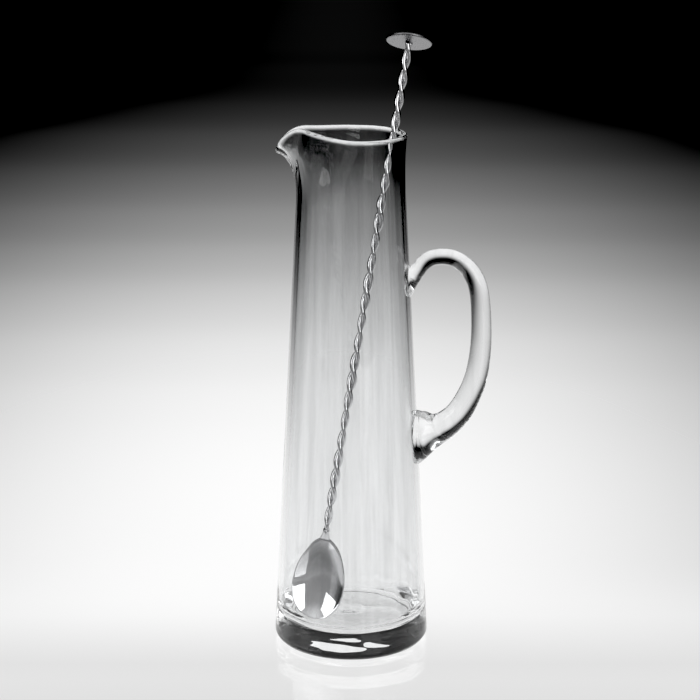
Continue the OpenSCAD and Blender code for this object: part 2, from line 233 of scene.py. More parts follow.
@dataclass(frozen=True)
class RimForm:
    """The teardrop rim with its pinched lip, and the wall that flares up to it."""

    wall: WallSizes = WallSizes()
    radius: float = 29.9 * MM
    thickness: float = 3.9 * MM
    shoulder_rise: float = 2.8 * MM
    lip_reach: float = 41 * MM
    lip_width: float = 9.2 * MM
    lip_drop: float = 8.5 * MM
    taper_share: float = 0.4
    flare_share: float = 0.3
    lip_lean_share: float = 0.3
    samples_a_step: int = 16
    angle_step: float = 0.02
    rise_step: float = 0.03
    turn_share: float = 0.12
    bowl_shares: tuple[tuple[float, float, float], ...] = (
        (0.99, 0, 0), (0.96, 0.27, 0), (0.86, 0.53, 0), (0.73, 0.70, 0), (0.56, 0.84, 0), (0.34, 0.94, 0),
        (0.08, 0.94, 0.05), (-0.20, 0.825, 0.25), (-0.40, 0.68, 0.42), (-0.575, 0.53, 0.60),
        (-0.73, 0.375, 0.80), (-0.86, 0.245, 1))
    lip_shares: tuple[tuple[float, float, float], ...] = (
        (0.28, 1.08, 0.03), (0.55, 0.98, 0.2), (0.81, 0.84, 0.52), (0.95, 0.52, 0.84), (1, 0, 1))
    line: list[Vector] = field(default_factory=list, init=False)
    angles: list[float] = field(default_factory=list, init=False)

    def __post_init__(self) -> None:
        """Works out the half of the rim's line on the +Y side, and the throat angle of each of its points."""
        top = self.wall.height
        points = [Vector((x * self.radius, y * self.radius, top + z * self.shoulder_rise))
                  for x, y, z in self.bowl_shares]
        points += [Vector((lerp(self.shoulder_x, -self.lip_reach, x), y * self.lip_width / 2,
                           lerp(top + self.shoulder_rise, top - self.lip_drop, z)))
                   for x, y, z in self.lip_shares]
        over = [Vector((p.x, -p.y, p.z)) for p in (points[1], points[-2])]
        steered = [over[0], *points, over[1]]
        steps = (len(points) - 1) * self.samples_a_step
        self.line.extend(curve_point(steered, i / self.samples_a_step) for i in range(steps + 1))
        length, lengths = 0.0, [0.0]
        for a, b in zip(self.line, self.line[1:]):
            length += (b - a).length
            lengths.append(length)
        self.angles.extend(math.pi * part / length for part in lengths)

    @property
    def shoulder_x(self) -> float:
        """Where the bowl of the rim ends and the lip begins."""
        return self.bowl_shares[-1][0] * self.radius

    def rim_point(self, angle: float) -> Vector:
        """Returns the point of the rim's centre line that belongs to an angle round the throat."""
        turn = (angle + math.pi) % (2 * math.pi) - math.pi
        size = abs(turn)
        low, high = 0, len(self.angles) - 1
        while high - low > 1:
            middle = (low + high) // 2
            low, high = (middle, high) if self.angles[middle] <= size else (low, middle)
        share = (size - self.angles[low]) / (self.angles[high] - self.angles[low])
        point = self.line[low].lerp(self.line[high], clamp(share))
        return point if turn >= 0 else Vector((point.x, -point.y, point.z))

    def wall_point(self, angle: float, rise: float) -> Vector:
        """Returns a point of the wall's centre line.

        Args:
            angle: Angle round the throat.
            rise: Share of the way from the throat to the rim.
        """
        goal = self.rim_point(angle)
        out = Vector((math.cos(angle), math.sin(angle), 0))
        height = goal.z - self.wall.throat_z
        lip = max(0.0, (self.shoulder_x - goal.x) / (self.shoulder_x + self.lip_reach)) ** 2
        tilt = (1 - lip) * (out * self.wall.taper + UP) + lip * Vector((-1, 0, self.lip_lean_share))
        foot = out * (self.wall.throat_radius - self.wall.wall / 2) + UP * self.wall.throat_z
        b = foot + (UP - out * self.wall.taper) * height * self.taper_share
        c = goal - tilt.normalized() * height * self.flare_share
        t, u = rise, 1 - rise
        return foot * u ** 3 + b * (3 * t * u * u) + c * (3 * t * t * u) + goal * t ** 3

    def place(self, angle: float, rise: float, out: float, over: float) -> Vector:
        """Puts a point of the wall's section in its place.

        Args:
            angle: Angle round the throat.
            rise: Share of the way from the throat to the rim.
            out: Distance outwards from the wall's centre line.
            over: Distance beyond the rim's centre line, along the wall.

        Returns:
            The point in space.
        """
        low, high = max(rise - self.rise_step, 0), min(rise + self.rise_step, 1)
        along = self.wall_point(angle + self.angle_step, rise) - self.wall_point(angle - self.angle_step, rise)
        up = self.wall_point(angle, high) - self.wall_point(angle, low)
        flat_out = Vector((math.cos(angle), math.sin(angle), 0))
        normal = flat_out.lerp(along.cross(up).normalized(), smooth_step(0, self.turn_share, rise)).normalized()
        return self.wall_point(angle, rise) + normal * out + up.normalized() * over


@dataclass
class BlownBody:
    """The glass body: heavy base, tapered wall with faint ribs inside, flared rim and pouring lip."""

    material: bpy.types.Material
    sizes: WallSizes = WallSizes()
    rim: RimForm = RimForm()
    around: int = 288
    ribs: int = 24
    rib_depth: float = 0.05 * MM
    foot_rib_depth: float = 0.45 * MM
    foot_rib_top: float = 32 * MM
    rib_fade_share: float = 0.7
    rib_start_share: float = 0.5
    floor_share: float = 0.9
    arc_steps: int = 10
    wall_rows: int = 34
    rim_rows: int = 26
    bead_steps: int = 6
    foot_rows: int = 40
    foot_ribs: int = 9
    kick_radius: float = 32 * MM
    kick: float = 0.6 * MM
    kick_wave: float = 0.8 * MM
    kick_wave_length: float = 16 * MM
    kick_turn: float = 3.6
    foot_radius: float = 14 * MM
    foot_round: float = 1.4 * MM

    def section(self) -> list[tuple[float, float]]:
        """Returns the wall's section as radius and height, from the underside's middle round to the floor's."""
        s = self.sizes
        heel = (s.base_radius - s.heel_radius, s.heel_radius)
        rows = [(heel[0] * share, 0.0) for share in self.shares(self.foot_rows)[:-1]]
        rows += self.arc(heel, s.heel_radius, -90, 0)
        rows += [(s.outer(z), z) for z in self.heights(s.heel_radius, s.throat_z)[1:]]
        rows += [(s.throat_radius - s.wall / 2 + self.half(v), s.throat_z + v * s.rim_height)
                 for v in self.shares(self.rim_rows)[1:]]
        rows += [(s.throat_radius - s.wall / 2 + math.cos(a) * self.rim.thickness / 2,
                  s.height + math.sin(a) * self.rim.thickness / 2)
                 for a in (math.pi * i / self.bead_steps for i in range(1, self.bead_steps))]
        rows += [(s.throat_radius - s.wall / 2 - self.half(v), s.throat_z + v * s.rim_height)
                 for v in reversed(self.shares(self.rim_rows)[1:])]
        rows += [(s.inner(z), z) for z in reversed(self.heights(s.corner[1], s.throat_z))]
        rows += self.arc(s.corner, s.corner_radius, 0, -90)[1:]
        edge = s.corner[0]
        rows += [(edge * share, s.floor + s.floor_rise * share) for share in reversed(self.shares(self.foot_rows)[:-1])]
        return rows

    @staticmethod
    def shares(count: int) -> list[float]:
        """Returns count + 1 even shares from 0 to 1."""
        return [i / count for i in range(count + 1)]

    def heights(self, low: float, high: float) -> list[float]:
        """Returns the heights of the wall's rows between two heights, both included."""
        return [lerp(low, high, share) for share in self.shares(self.wall_rows)]

    def arc(self, centre: tuple[float, float], radius: float, start: float, end: float) -> list[tuple[float, float]]:
        """Returns the points of an arc; start and end are in degrees."""
        turns = (math.radians(lerp(start, end, share)) for share in self.shares(self.arc_steps))
        return [(centre[0] + radius * math.cos(a), centre[1] + radius * math.sin(a)) for a in turns]

    def half(self, rise: float) -> float:
        """Half the wall's thickness at a share of the rise from the throat to the rim."""
        return lerp(self.sizes.wall, self.rim.thickness, rise ** 3) / 2

    def rib(self, angle: float, z: float) -> float:
        """Depth of the optic ribs at a place on the inner wall."""
        start = self.sizes.throat_z
        fade = 1 - smooth_step(start, start + self.sizes.rim_height * self.rib_fade_share, z)
        foot = 1 - smooth_step(self.sizes.corner[1], self.foot_rib_top, z)
        return (self.rib_depth * fade * (0.5 + 0.5 * math.cos(self.ribs * angle))
                + self.foot_rib_depth * foot * (0.5 + 0.5 * math.cos(self.foot_ribs * angle)))

    def underside(self, co: Vector) -> float:
        """Returns how far the underside is pushed up: a shallow kick with soft waves, and a round towards the heel."""
        radius = math.hypot(co.x, co.y)
        share = clamp(radius / self.kick_radius)
        spot = Vector((co.x / self.kick_wave_length, co.y / self.kick_wave_length, self.kick_turn))
        wave = noise.fractal(spot, 1.0, 2.0, 2)
        rim = clamp((radius - self.foot_radius) / (self.sizes.base_radius - self.sizes.heel_radius - self.foot_radius))
        return max(0.0, (self.kick + self.kick_wave * wave) * (1 - share ** 2) ** 2) + self.foot_round * rim ** 2

    def build(self) -> bpy.types.Object:
        """Spins the section round and draws its top out to the rim and the lip.

        Returns:
            The finished piece.
        """
        s = self.sizes
        bm = bmesh.new()
        verts = [bm.verts.new((r, 0, z)) for r, z in self.section()]
        edges = [bm.edges.new(pair) for pair in zip(verts, verts[1:])]
        bmesh.ops.spin(bm, geom=verts + edges, cent=(0, 0, 0), axis=(0, 0, 1), angle=2 * math.pi,
                       steps=self.around, use_merge=True)
        close_up(bm)
        middle = s.throat_radius - s.wall / 2
        for vert in bm.verts:
            radius, angle = math.hypot(vert.co.x, vert.co.y), math.atan2(vert.co.y, vert.co.x)
            z = vert.co.z
            if z <= s.throat_z:
                inside = z > s.floor * self.floor_share and radius < (s.outer(z) + s.inner(z)) / 2
            else:
                inside = radius < middle
            if z > s.throat_z + TINY:
                out = radius - middle + (self.rib(angle, z) if inside else 0)
                rise = min((z - s.throat_z) / s.rim_height, 1)
                vert.co = self.rim.place(angle, rise, out, max(z - s.height, 0))
            elif z < TINY:
                vert.co.z = self.underside(vert.co)
            elif inside and radius > s.corner[0] * self.rib_start_share:
                swell = self.rib(angle, z)
                vert.co.x += swell * math.cos(angle)
                vert.co.y += swell * math.sin(angle)
        return finish_piece(bm, "pitcher_body", Body.PITCHER, self.material, ["glass_body"])


@dataclass
class AppliedHandle:
    """The handle: one rod of hot glass, set down as a thick pad and drawn up to a thinner upper joint."""

    material: bpy.types.Material
    wall: WallSizes = WallSizes()
    top_z: float = 216 * MM
    low_z: float = 124 * MM
    reach: float = 39.8 * MM
    crest: float = 16 * MM
    rod: float = 9.6 * MM
    pad_height: float = 32 * MM
    pad_width: float = 24 * MM
    sides: int = 56
    rows_a_step: int = 7
    seam: float = 0.02 * MM
    look_ahead: float = 0.05
    cap_shares: tuple[float, ...] = (0.8, 0.7, 0.6, 0.4)

    def rows(self) -> list[tuple[float, ...]]:
        """Returns the rows of the rod from the upper joint to the pad.

        Returns:
            Each row's stand-off from the wall, height, tall and wide sizes, and how level the rod runs there.
        """
        def rod(out: float, z: float, tall: float, wide: float, level: float = 0.0) -> tuple[float, ...]:
            """One row whose sizes are shares of the rod's."""
            return self.reach * out, z, self.rod * tall, self.rod * wide, level

        def pad(out: float, share: float, tall: float, wide: float, level: float) -> tuple[float, ...]:
            """One row whose sizes are shares of the pad's."""
            return self.reach * out, between(share), self.pad_height * tall, self.pad_width * wide, level

        def above(share: float) -> float:
            """Height above the upper joint, as a share of the crest's rise."""
            return self.top_z + self.crest * share

        def between(share: float) -> float:
            """Height between the two joints, as a share of the way up."""
            return lerp(self.low_z, self.top_z, share)

        return [
            rod(0, above(0.05), 2.0, 1.48, 1), rod(0.02, above(0.09), 1.95, 1.45, 1),
            rod(0.09, above(0.36), 1.45, 1.2, 0.9), rod(0.19, above(0.70), 1, 1, 0.5),
            rod(0.31, above(0.92), 0.96, 0.97, 0.2), rod(0.48, above(1), 0.98, 0.98),
            rod(0.65, above(0.94), 1, 1), rod(0.80, above(0.70), 1.04, 1.04), rod(0.91, above(0.34), 1.1, 1.1),
            rod(0.975, above(-0.12), 1.14, 1.14), rod(1, between(0.86), 1.17, 1.17),
            rod(0.995, between(0.70), 1.22, 1.22), rod(0.97, between(0.58), 1.27, 1.26),
            rod(0.925, between(0.465), 1.32, 1.30), rod(0.85, between(0.355), 1.39, 1.36),
            rod(0.73, between(0.245), 1.47, 1.44), rod(0.59, between(0.155), 1.56, 1.52),
            rod(0.43, between(0.09), 1.7, 1.66, 0.2), pad(0.28, 0.05, 0.60, 0.72, 0.5),
            pad(0.15, 0.025, 0.82, 0.88, 0.8), pad(0.05, 0, 0.97, 0.98, 1), pad(0, 0, 1, 1, 1)]

    def stations(self) -> list[Matrix]:
        """Returns the places of the rod's rings."""
        rows = [(self.wall.outer(z) + out, z, tall, wide, level) for out, z, tall, wide, level in self.rows()]
        rows = [tuple(2 * a - b for a, b in zip(rows[0], rows[1])), *rows,
                tuple(2 * a - b for a, b in zip(rows[-1], rows[-2]))]
        lines = [Vector((row[0], 0, row[1])) for row in rows], [Vector(row[2:5]) for row in rows]
        count = (len(rows) - 3) * self.rows_a_step
        places = [i / self.rows_a_step for i in range(count + 1)]
        made = []
        for i, place in enumerate(places):
            centre, size = curve_point(lines[0], place), curve_point(lines[1], place)
            ahead = curve_point(lines[0], place + self.look_ahead) - curve_point(lines[0], place - self.look_ahead)
            level = Vector((1 if i < count / 2 else -1, 0, 0))
            along = ahead.normalized().lerp(level, clamp(size.z)).normalized()
            across = SIDE.cross(along)
            turn = Matrix((across, SIDE, along)).transposed().to_4x4()
            made.append(Matrix.Translation(centre) @ turn @ Matrix.Diagonal((size.x / 2, size.y / 2, 1, 1)))
        return made

    def on_wall(self, co: Vector) -> Vector:
        """Moves a point level onto the wall's outer face, which the handle is fused to."""
        radius = self.wall.outer(co.z) + self.seam
        return Vector((math.sqrt(max(radius * radius - co.y * co.y, 0)), co.y, co.z))

    def close_end(self, bm: bmesh.types.BMesh, ring: list[bmesh.types.BMVert]) -> None:
        """Closes an open end with a face that lies on the wall."""
        for vert in ring:
            vert.co = self.on_wall(vert.co)
        middle = sum((vert.co for vert in ring), Vector()) / len(ring)
        edges = [edge for edge in bm.edges if edge.is_boundary and edge.verts[0] in ring]
        for shrink in self.cap_shares:
            made = bmesh.ops.extrude_edge_only(bm, edges=edges)["geom"]
            ring = [item for item in made if isinstance(item, bmesh.types.BMVert)]
            edges = [item for item in made if isinstance(item, bmesh.types.BMEdge) and item.is_boundary]
            for vert in ring:
                vert.co = self.on_wall(middle + (vert.co - middle) * shrink)
        bmesh.ops.contextual_create(bm, geom=edges)

    def build(self) -> bpy.types.Object:
        """Sweeps the rod, keeps it off the wall and closes both ends on it.

        Returns:
            The finished piece.
        """
        bm = bmesh.new()
        rings = sweep(bm, self.stations(), self.sides)
        for ring in rings[1:-1]:
            for vert in ring:
                if vert.co.x < self.on_wall(vert.co).x:
                    vert.co = self.on_wall(vert.co)
        self.close_end(bm, rings[0])
        self.close_end(bm, rings[-1])
        close_up(bm)
        return finish_piece(bm, "rod_handle", Body.PITCHER, self.material, ["handle"])


# ---------------------------------------------------------------- spoon


@dataclass(frozen=True)
class SpoonPlace:
    """Where the loose spoon stands: its bowl's tip on the curve round the floor, its stem against the rim."""

    wall: WallSizes = WallSizes()
    gap: float = 0.3 * MM
    tip_inset: float = -1.5 * MM
    tip_turn: float = math.radians(-131.3)
    rest_turn: float = math.radians(24)
    bowl_lean: tuple[float, float, float] = (0.12, 0.26, 0.95)
    face_turn: float = math.radians(84)
    bowl_length: float = 50 * MM
    sheet: float = 1.2 * MM
    sink_share: float = 0.7
    wire: float = 2.6 * MM
    reach_share: float = 0.8
    rim_radius: float = 29.9 * MM
    rim_bead: float = 3.9 * MM
    rim_share: float = 0.99
    neck: float = 6 * MM
    stem: float = 287 * MM

    @property
    def tip(self) -> Vector:
        """Lowest point of the bowl's middle line."""
        edge, round_off = self.wall.corner[0], self.wall.corner_radius
        radius = edge - self.tip_inset
        low = self.wall.floor + self.wall.floor_rise * min(radius / edge, 1)
        low += round_off - math.sqrt(round_off ** 2 - max(radius - edge, 0) ** 2)
        return Vector((radius * math.cos(self.tip_turn), radius * math.sin(self.tip_turn),
                       low + self.gap + self.sheet * self.sink_share))

    @property
    def bowl_dir(self) -> Vector:
        """Direction from the tip to the neck."""
        return Vector(self.bowl_lean).normalized()

    @property
    def neck_foot(self) -> Vector:
        """Where the bowl ends and the neck begins."""
        return self.tip + self.bowl_dir * self.bowl_length

    @property
    def stem_dir(self) -> Vector:
        """Direction of the straight stem."""
        reach = self.rim_share * self.rim_radius - self.rim_bead / 2 - self.wire * self.reach_share - self.gap
        rest = Vector((reach * math.cos(self.rest_turn), reach * math.sin(self.rest_turn), self.wall.height))
        return (rest - self.neck_foot).normalized()

    @property
    def stem_foot(self) -> Vector:
        """Where the wires leave the neck."""
        return self.neck_foot + self.stem_dir * self.neck

    @property
    def stem_top(self) -> Vector:
        """Where the wires meet the disc."""
        return self.stem_foot + self.stem_dir * self.stem


@dataclass
class SpoonBowl:
    """The bowl, pressed from sheet, with a rounded edge."""

    material: bpy.types.Material
    place: SpoonPlace = SpoonPlace()
    width: float = 30.5 * MM
    depth: float = 5.2 * MM
    middle_share: float = 0.44
    around: int = 128
    rings: int = 18
    edge_bevel: float = 0.32 * MM
    bevel_segments: int = 3
    sharp: float = math.radians(50)
    outline: tuple[tuple[float, float], ...] = (
        (0.0, 1.0), (0.12, 1.0), (0.23, 0.99), (0.45, 0.925), (0.70, 0.805), (0.915, 0.62), (1, 0.435), (0.885, 0.25),
        (0.63, 0.11), (0.32, 0.028), (0, 0))

    def edge_point(self, angle: float) -> Vector:
        """Returns a point of the outline, in shares; angle 0 is the neck and half a turn the tip."""
        size = abs((angle + math.pi) % (2 * math.pi) - math.pi)
        points = [Vector((x, z)) for x, z in self.outline]
        over = [Vector((-points[1].x, points[1].y)), Vector((-points[-2].x, points[-2].y))]
        found = curve_point([over[0], *points, over[1]], size / math.pi * (len(points) - 1))
        side = 1 if math.sin(angle) >= 0 else -1
        return Vector((found.x * side, found.y))

    def build(self) -> bpy.types.Object:
        """Dishes a ringed disc, gives it the sheet's thickness and rounds its edge.

        Returns:
            The finished piece.
        """
        p, middle = self.place, self.middle_share * self.place.bowl_length
        bm = bmesh.new()
        bmesh.ops.create_circle(bm, segments=self.around, radius=1.0, cap_ends=False)
        edges = list(bm.edges)
        for ring in range(self.rings - 1, 0, -1):
            made = bmesh.ops.extrude_edge_only(bm, edges=edges)["geom"]
            verts = [item for item in made if isinstance(item, bmesh.types.BMVert)]
            edges = [item for item in made if isinstance(item, bmesh.types.BMEdge) and item.is_boundary]
            bmesh.ops.scale(bm, vec=Vector((1, 1, 1)) * (ring / (ring + 1)), verts=verts)
        hub = bmesh.ops.contextual_create(bm, geom=edges)["faces"]
        bmesh.ops.poke(bm, faces=hub)
        for vert in bm.verts:
            q, angle = math.hypot(vert.co.x, vert.co.y), math.atan2(vert.co.x, vert.co.y)
            edge = self.edge_point(angle)
            vert.co = Vector((q * edge.x * self.width / 2, self.depth * (1 - q * q),
                              lerp(middle, edge.y * p.bowl_length, q)))
        bmesh.ops.recalc_face_normals(bm, faces=bm.faces)
        if sum(face.normal.y * face.calc_area() for face in bm.faces) > 0:
            bmesh.ops.reverse_faces(bm, faces=bm.faces)
        bmesh.ops.solidify(bm, geom=bm.faces[:], thickness=p.sheet)
        close_up(bm)
        rim = [edge for edge in bm.edges if len(edge.link_faces) == 2 and edge.calc_face_angle(0) > self.sharp]
        bmesh.ops.bevel(bm, geom=rim, offset=self.edge_bevel, segments=self.bevel_segments, profile=0.5,
                        affect="EDGES", material=-1)
        turn = upright(p.bowl_dir, p.face_turn - math.pi / 2)
        bmesh.ops.transform(bm, matrix=Matrix.Translation(p.tip) @ turn, verts=bm.verts)
        close_up(bm)
        return finish_piece(bm, "spoon_bowl_sheet", Body.SPOON, self.material, ["spoon_bowl"])


@dataclass
class SpoonNeck:
    """The brazed collar between the bowl and the wires."""

    material: bpy.types.Material
    place: SpoonPlace = SpoonPlace()
    sides: int = 40
    rows: tuple[tuple[float, float, float], ...] = (
        (0.0, 6.6, 3.2), (0.6, 6.3, 3.5), (1.6, 5.7, 4.3), (2.7, 5.1, 4.9), (4.0, 4.6, 5.5), (5.2, 4.3, 5.9),
        (6.0, 4.1, 5.8))

    def build(self) -> bpy.types.Object:
        """Sweeps the collar and caps both ends.

        Returns:
            The finished piece.
        """
        p = self.place
        base = Matrix.Translation(p.neck_foot) @ upright(p.stem_dir, p.face_turn - math.pi / 2)
        stations = [base @ Matrix.Translation((0, 0, z * MM)) @ Matrix.Diagonal((w * MM / 2, t * MM / 2, 1, 1))
                    for z, w, t in self.rows]
        bm = bmesh.new()
        rings = sweep(bm, stations, self.sides)
        cap_ends(bm, rings)
        close_up(bm)
        return finish_piece(bm, "spoon_collar", Body.SPOON, self.material, ["spoon_neck"])


@dataclass
class TwistedWire:
    """One of the two round wires of the stem, wound left-handed about the other."""

    material: bpy.types.Material
    name: str
    node: str
    phase: float
    place: SpoonPlace = SpoonPlace()
    pitch: float = 23.5 * MM
    gap: float = 0.1 * MM
    sides: int = 18
    rings_a_turn: int = 32

    def build(self) -> bpy.types.Object:
        """Sweeps the wire along its helix.

        Returns:
            The finished piece.
        """
        p = self.place
        orbit, spin = (p.wire + self.gap) / 2, -2 * math.pi / self.pitch
        base = Matrix.Translation(p.stem_foot) @ upright(p.stem_dir, 0)
        count = math.ceil(p.stem / self.pitch * self.rings_a_turn)
        stations = []
        for i in range(count + 1):
            s = p.stem * i / count
            a = self.phase + spin * s
            out = Vector((math.cos(a), math.sin(a), 0))
            along = Vector((-math.sin(a) * orbit * spin, math.cos(a) * orbit * spin, 1)).normalized()
            if i in (0, count):
                along = UP.copy()
            side = along.cross(out)
            turn = Matrix((out, side, along)).transposed().to_4x4()
            stations.append(base @ Matrix.Translation(out * orbit + UP * s) @ turn
                            @ Matrix.Diagonal((p.wire / 2, p.wire / 2, 1, 1)))
        bm = bmesh.new()
        rings = sweep(bm, stations, self.sides)
        cap_ends(bm, rings)
        close_up(bm)
        return finish_piece(bm, self.name, Body.SPOON, self.material, [self.node])


@dataclass
class StemDisc:
    """The flat disc on top of the stem, a muddler with a rounded edge."""

    material: bpy.types.Material
    place: SpoonPlace = SpoonPlace()
    lean: tuple[float, float, float] = (0.072, 0.431, 0.899)
    diameter: float = 26 * MM
    thickness: float = 1.6 * MM
    around: int = 128
    edge_steps: int = 10
    flat_shares: tuple[float, ...] = (0.0, 0.35, 0.7, 0.88)

    def build(self) -> bpy.types.Object:
        """Spins the disc's section round its axis.

        Returns:
            The finished piece.
        """
        half, r = self.thickness / 2, self.diameter / 2
        rows = [(r * share, 0.0) for share in self.flat_shares]
        rows += [(r - half + half * math.cos(a), half + half * math.sin(a))
                 for a in (math.pi * (i / self.edge_steps - 0.5) for i in range(self.edge_steps + 1))]
        rows += [(r * share, self.thickness) for share in reversed(self.flat_shares)]
        bm = bmesh.new()
        verts = [bm.verts.new((x, 0, z)) for x, z in rows]
        edges = [bm.edges.new(pair) for pair in zip(verts, verts[1:])]
        bmesh.ops.spin(bm, geom=verts + edges, cent=(0, 0, 0), axis=(0, 0, 1), angle=2 * math.pi,
                       steps=self.around, use_merge=True)
        close_up(bm)
        turn = Matrix.Translation(self.place.stem_top) @ upright(Vector(self.lean).normalized(), 0)
        bmesh.ops.transform(bm, matrix=turn, verts=bm.verts)
        close_up(bm)
        return finish_piece(bm, "stem_disc", Body.SPOON, self.material, ["spoon_disc"])


# ---------------------------------------------------------------- finishes


@dataclass(frozen=True)
class NodeTool:
    """Short ways to add and join the nodes of one tree."""

    tree: bpy.types.NodeTree

    def add(self, kind: str, **values: object) -> bpy.types.Node:
        """Adds a node and sets its properties."""
        node = self.tree.nodes.new(kind)
        for name, value in values.items():
            setattr(node, name, value)
        return node

    def join(self, start: bpy.types.NodeSocket, end: bpy.types.NodeSocket) -> None:
        """Links two sockets."""
        self.tree.links.new(start, end)

    def calc(self, operation: str, *values: bpy.types.NodeSocket | float) -> bpy.types.NodeSocket:
        """Adds a math node, joins or sets its inputs in order, and returns its result."""
        node = self.add("ShaderNodeMath", operation=operation)
        for socket, value in zip(node.inputs, values):
            if isinstance(value, bpy.types.NodeSocket):
                self.join(value, socket)
            else:
                socket.default_value = value
        return node.outputs["Value"]

    def span(self, value: bpy.types.NodeSocket, start: tuple[float, float], end: tuple[float, float] = (0.0, 1.0),
             kind: str = "SMOOTHSTEP") -> bpy.types.NodeSocket:
        """Maps a value from one span to another.

        Args:
            value: The socket that gives the value.
            start: The span that it comes from.
            end: The span that it goes to.
            kind: Interpolation between the ends.

        Returns:
            The socket of the mapped value.
        """
        node = self.add("ShaderNodeMapRange", interpolation_type=kind)
        for name, number in zip(("From Min", "From Max", "To Min", "To Max"), (*start, *end)):
            node.inputs[name].default_value = number
        self.join(value, node.inputs["Value"])
        return node.outputs["Result"]

    def wear(self, worn: bpy.types.NodeTree, wave_scale: float, wave_depth: float, rough: tuple[float, float]) -> None:
        """Joins the shared worn surface to the material's shader.

        Args:
            worn: The shared node group.
            wave_scale: Scale of the soft waves.
            wave_depth: Height of the soft waves.
            rough: Roughness of the clean surface and of its marks.
        """
        shader = self.tree.nodes["Principled BSDF"]
        group = self.add("ShaderNodeGroup", node_tree=worn)
        for name, value in (("Wave Scale", wave_scale), ("Low", rough[0]), ("High", rough[1])):
            group.inputs[name].default_value = value
        relief = self.add("ShaderNodeBump")
        relief.inputs["Strength"].default_value = 1.0
        relief.inputs["Distance"].default_value = wave_depth
        self.join(group.outputs["Waves"], relief.inputs["Height"])
        self.join(relief.outputs["Normal"], shader.inputs["Normal"])
        self.join(group.outputs["Roughness"], shader.inputs["Roughness"])


def hand_worn_group() -> bpy.types.NodeTree:
    """Builds the shared effect of soft waves and fine handling marks on a polished surface.

    Returns:
        A group with the inputs Wave Scale, Mark Scale, Low and High, and the outputs Waves and Roughness.
    """
    group = bpy.data.node_groups.new("hand_worn", "ShaderNodeTree")
    for name, default in (("Wave Scale", 40.0), ("Mark Scale", 900.0), ("Low", 0.0), ("High", 0.05)):
        socket = group.interface.new_socket(name, in_out="INPUT", socket_type="NodeSocketFloat")
        socket.default_value = default
    for name in ("Waves", "Roughness"):
        group.interface.new_socket(name, in_out="OUTPUT", socket_type="NodeSocketFloat")
    tool = NodeTool(group)
    start, end = tool.add("NodeGroupInput"), tool.add("NodeGroupOutput")
    place = tool.add("ShaderNodeTexCoord")
    waves = tool.add("ShaderNodeTexNoise", noise_dimensions="3D")
    waves.inputs["Detail"].default_value = WAVE_DETAIL
    marks = tool.add("ShaderNodeTexNoise", noise_dimensions="3D")
    marks.inputs["Detail"].default_value = MARK_DETAIL
    tool.join(place.outputs["Object"], waves.inputs["Vector"])
    tool.join(place.outputs["Object"], marks.inputs["Vector"])
    tool.join(start.outputs["Wave Scale"], waves.inputs["Scale"])
    tool.join(start.outputs["Mark Scale"], marks.inputs["Scale"])
    spread = tool.add("ShaderNodeMapRange", interpolation_type="SMOOTHSTEP")
    spread.inputs["From Min"].default_value, spread.inputs["From Max"].default_value = MARK_SPAN
    tool.join(marks.outputs["Fac"], spread.inputs["Value"])
    tool.join(start.outputs["Low"], spread.inputs["To Min"])
    tool.join(start.outputs["High"], spread.inputs["To Max"])
    tool.join(waves.outputs["Fac"], end.inputs["Waves"])
    tool.join(spread.outputs["Result"], end.inputs["Roughness"])
    return group


@dataclass(frozen=True)
class GlassFinish:
    """Clear, fire-polished glass with the soft waves and upright striae of hand work."""

    name: str
    wave_scale: float
    wave_depth: float
    tint: tuple[float, float, float, float] = (0.93, 0.935, 0.938, 1.0)
    ior: float = 1.5
    haze: float = 0.012
    stria_scale: float = 260.0
    stria_depth: float = 0.1
    stria_detail: float = 3.0
    stria_stretch: tuple[float, float, float] = (1, 1, 0.02)
    stria_span: tuple[float, float] = (0.3, 0.6)

    def build(self, worn: bpy.types.NodeTree) -> bpy.types.Material:
        """Makes the material with the shared worn surface."""
        material = bpy.data.materials.new(self.name)
        material.use_nodes = True
        tool = NodeTool(material.node_tree)
        shader = material.node_tree.nodes["Principled BSDF"]
        shader.inputs["Metallic"].default_value = 0.0
        shader.inputs["Transmission Weight"].default_value = 1.0
        shader.inputs["IOR"].default_value = self.ior
        place = tool.add("ShaderNodeTexCoord")
        drawn = tool.add("ShaderNodeMapping")
        drawn.inputs["Scale"].default_value = self.stria_stretch
        striae = tool.add("ShaderNodeTexNoise", noise_dimensions="3D")
        striae.inputs["Scale"].default_value = self.stria_scale
        striae.inputs["Detail"].default_value = self.stria_detail
        color = tool.add("ShaderNodeVectorMath", operation="SCALE")
        color.inputs[0].default_value = self.tint[:3]
        tool.join(place.outputs["Object"], drawn.inputs["Vector"])
        tool.join(drawn.outputs["Vector"], striae.inputs["Vector"])
        shade = tool.span(striae.outputs["Fac"], self.stria_span, (1 - self.stria_depth, 1.0))
        tool.join(shade, color.inputs["Scale"])
        tool.join(color.outputs["Vector"], shader.inputs["Base Color"])
        tool.wear(worn, self.wave_scale, self.wave_depth, (0.0, self.haze))
        return material


@dataclass(frozen=True)
class SteelFinish:
    """Stainless steel, mirror-polished unless a rougher finish is set, with faint handling marks."""

    name: str
    color: tuple[float, float, float, float] = (0.80, 0.80, 0.81, 1.0)
    low: float = 0.03
    high: float = 0.12
    wave_scale: float = 60.0
    wave_depth: float = 0.02 * MM

    def build(self, worn: bpy.types.NodeTree) -> bpy.types.Material:
        """Makes the material with the shared worn surface."""
        material = bpy.data.materials.new(self.name)
        material.use_nodes = True
        tool = NodeTool(material.node_tree)
        shader = material.node_tree.nodes["Principled BSDF"]
        shader.inputs["Base Color"].default_value = self.color
        shader.inputs["Metallic"].default_value = 1.0
        tool.wear(worn, self.wave_scale, self.wave_depth, (self.low, self.high))
        return material


# ---------------------------------------------------------------- studio


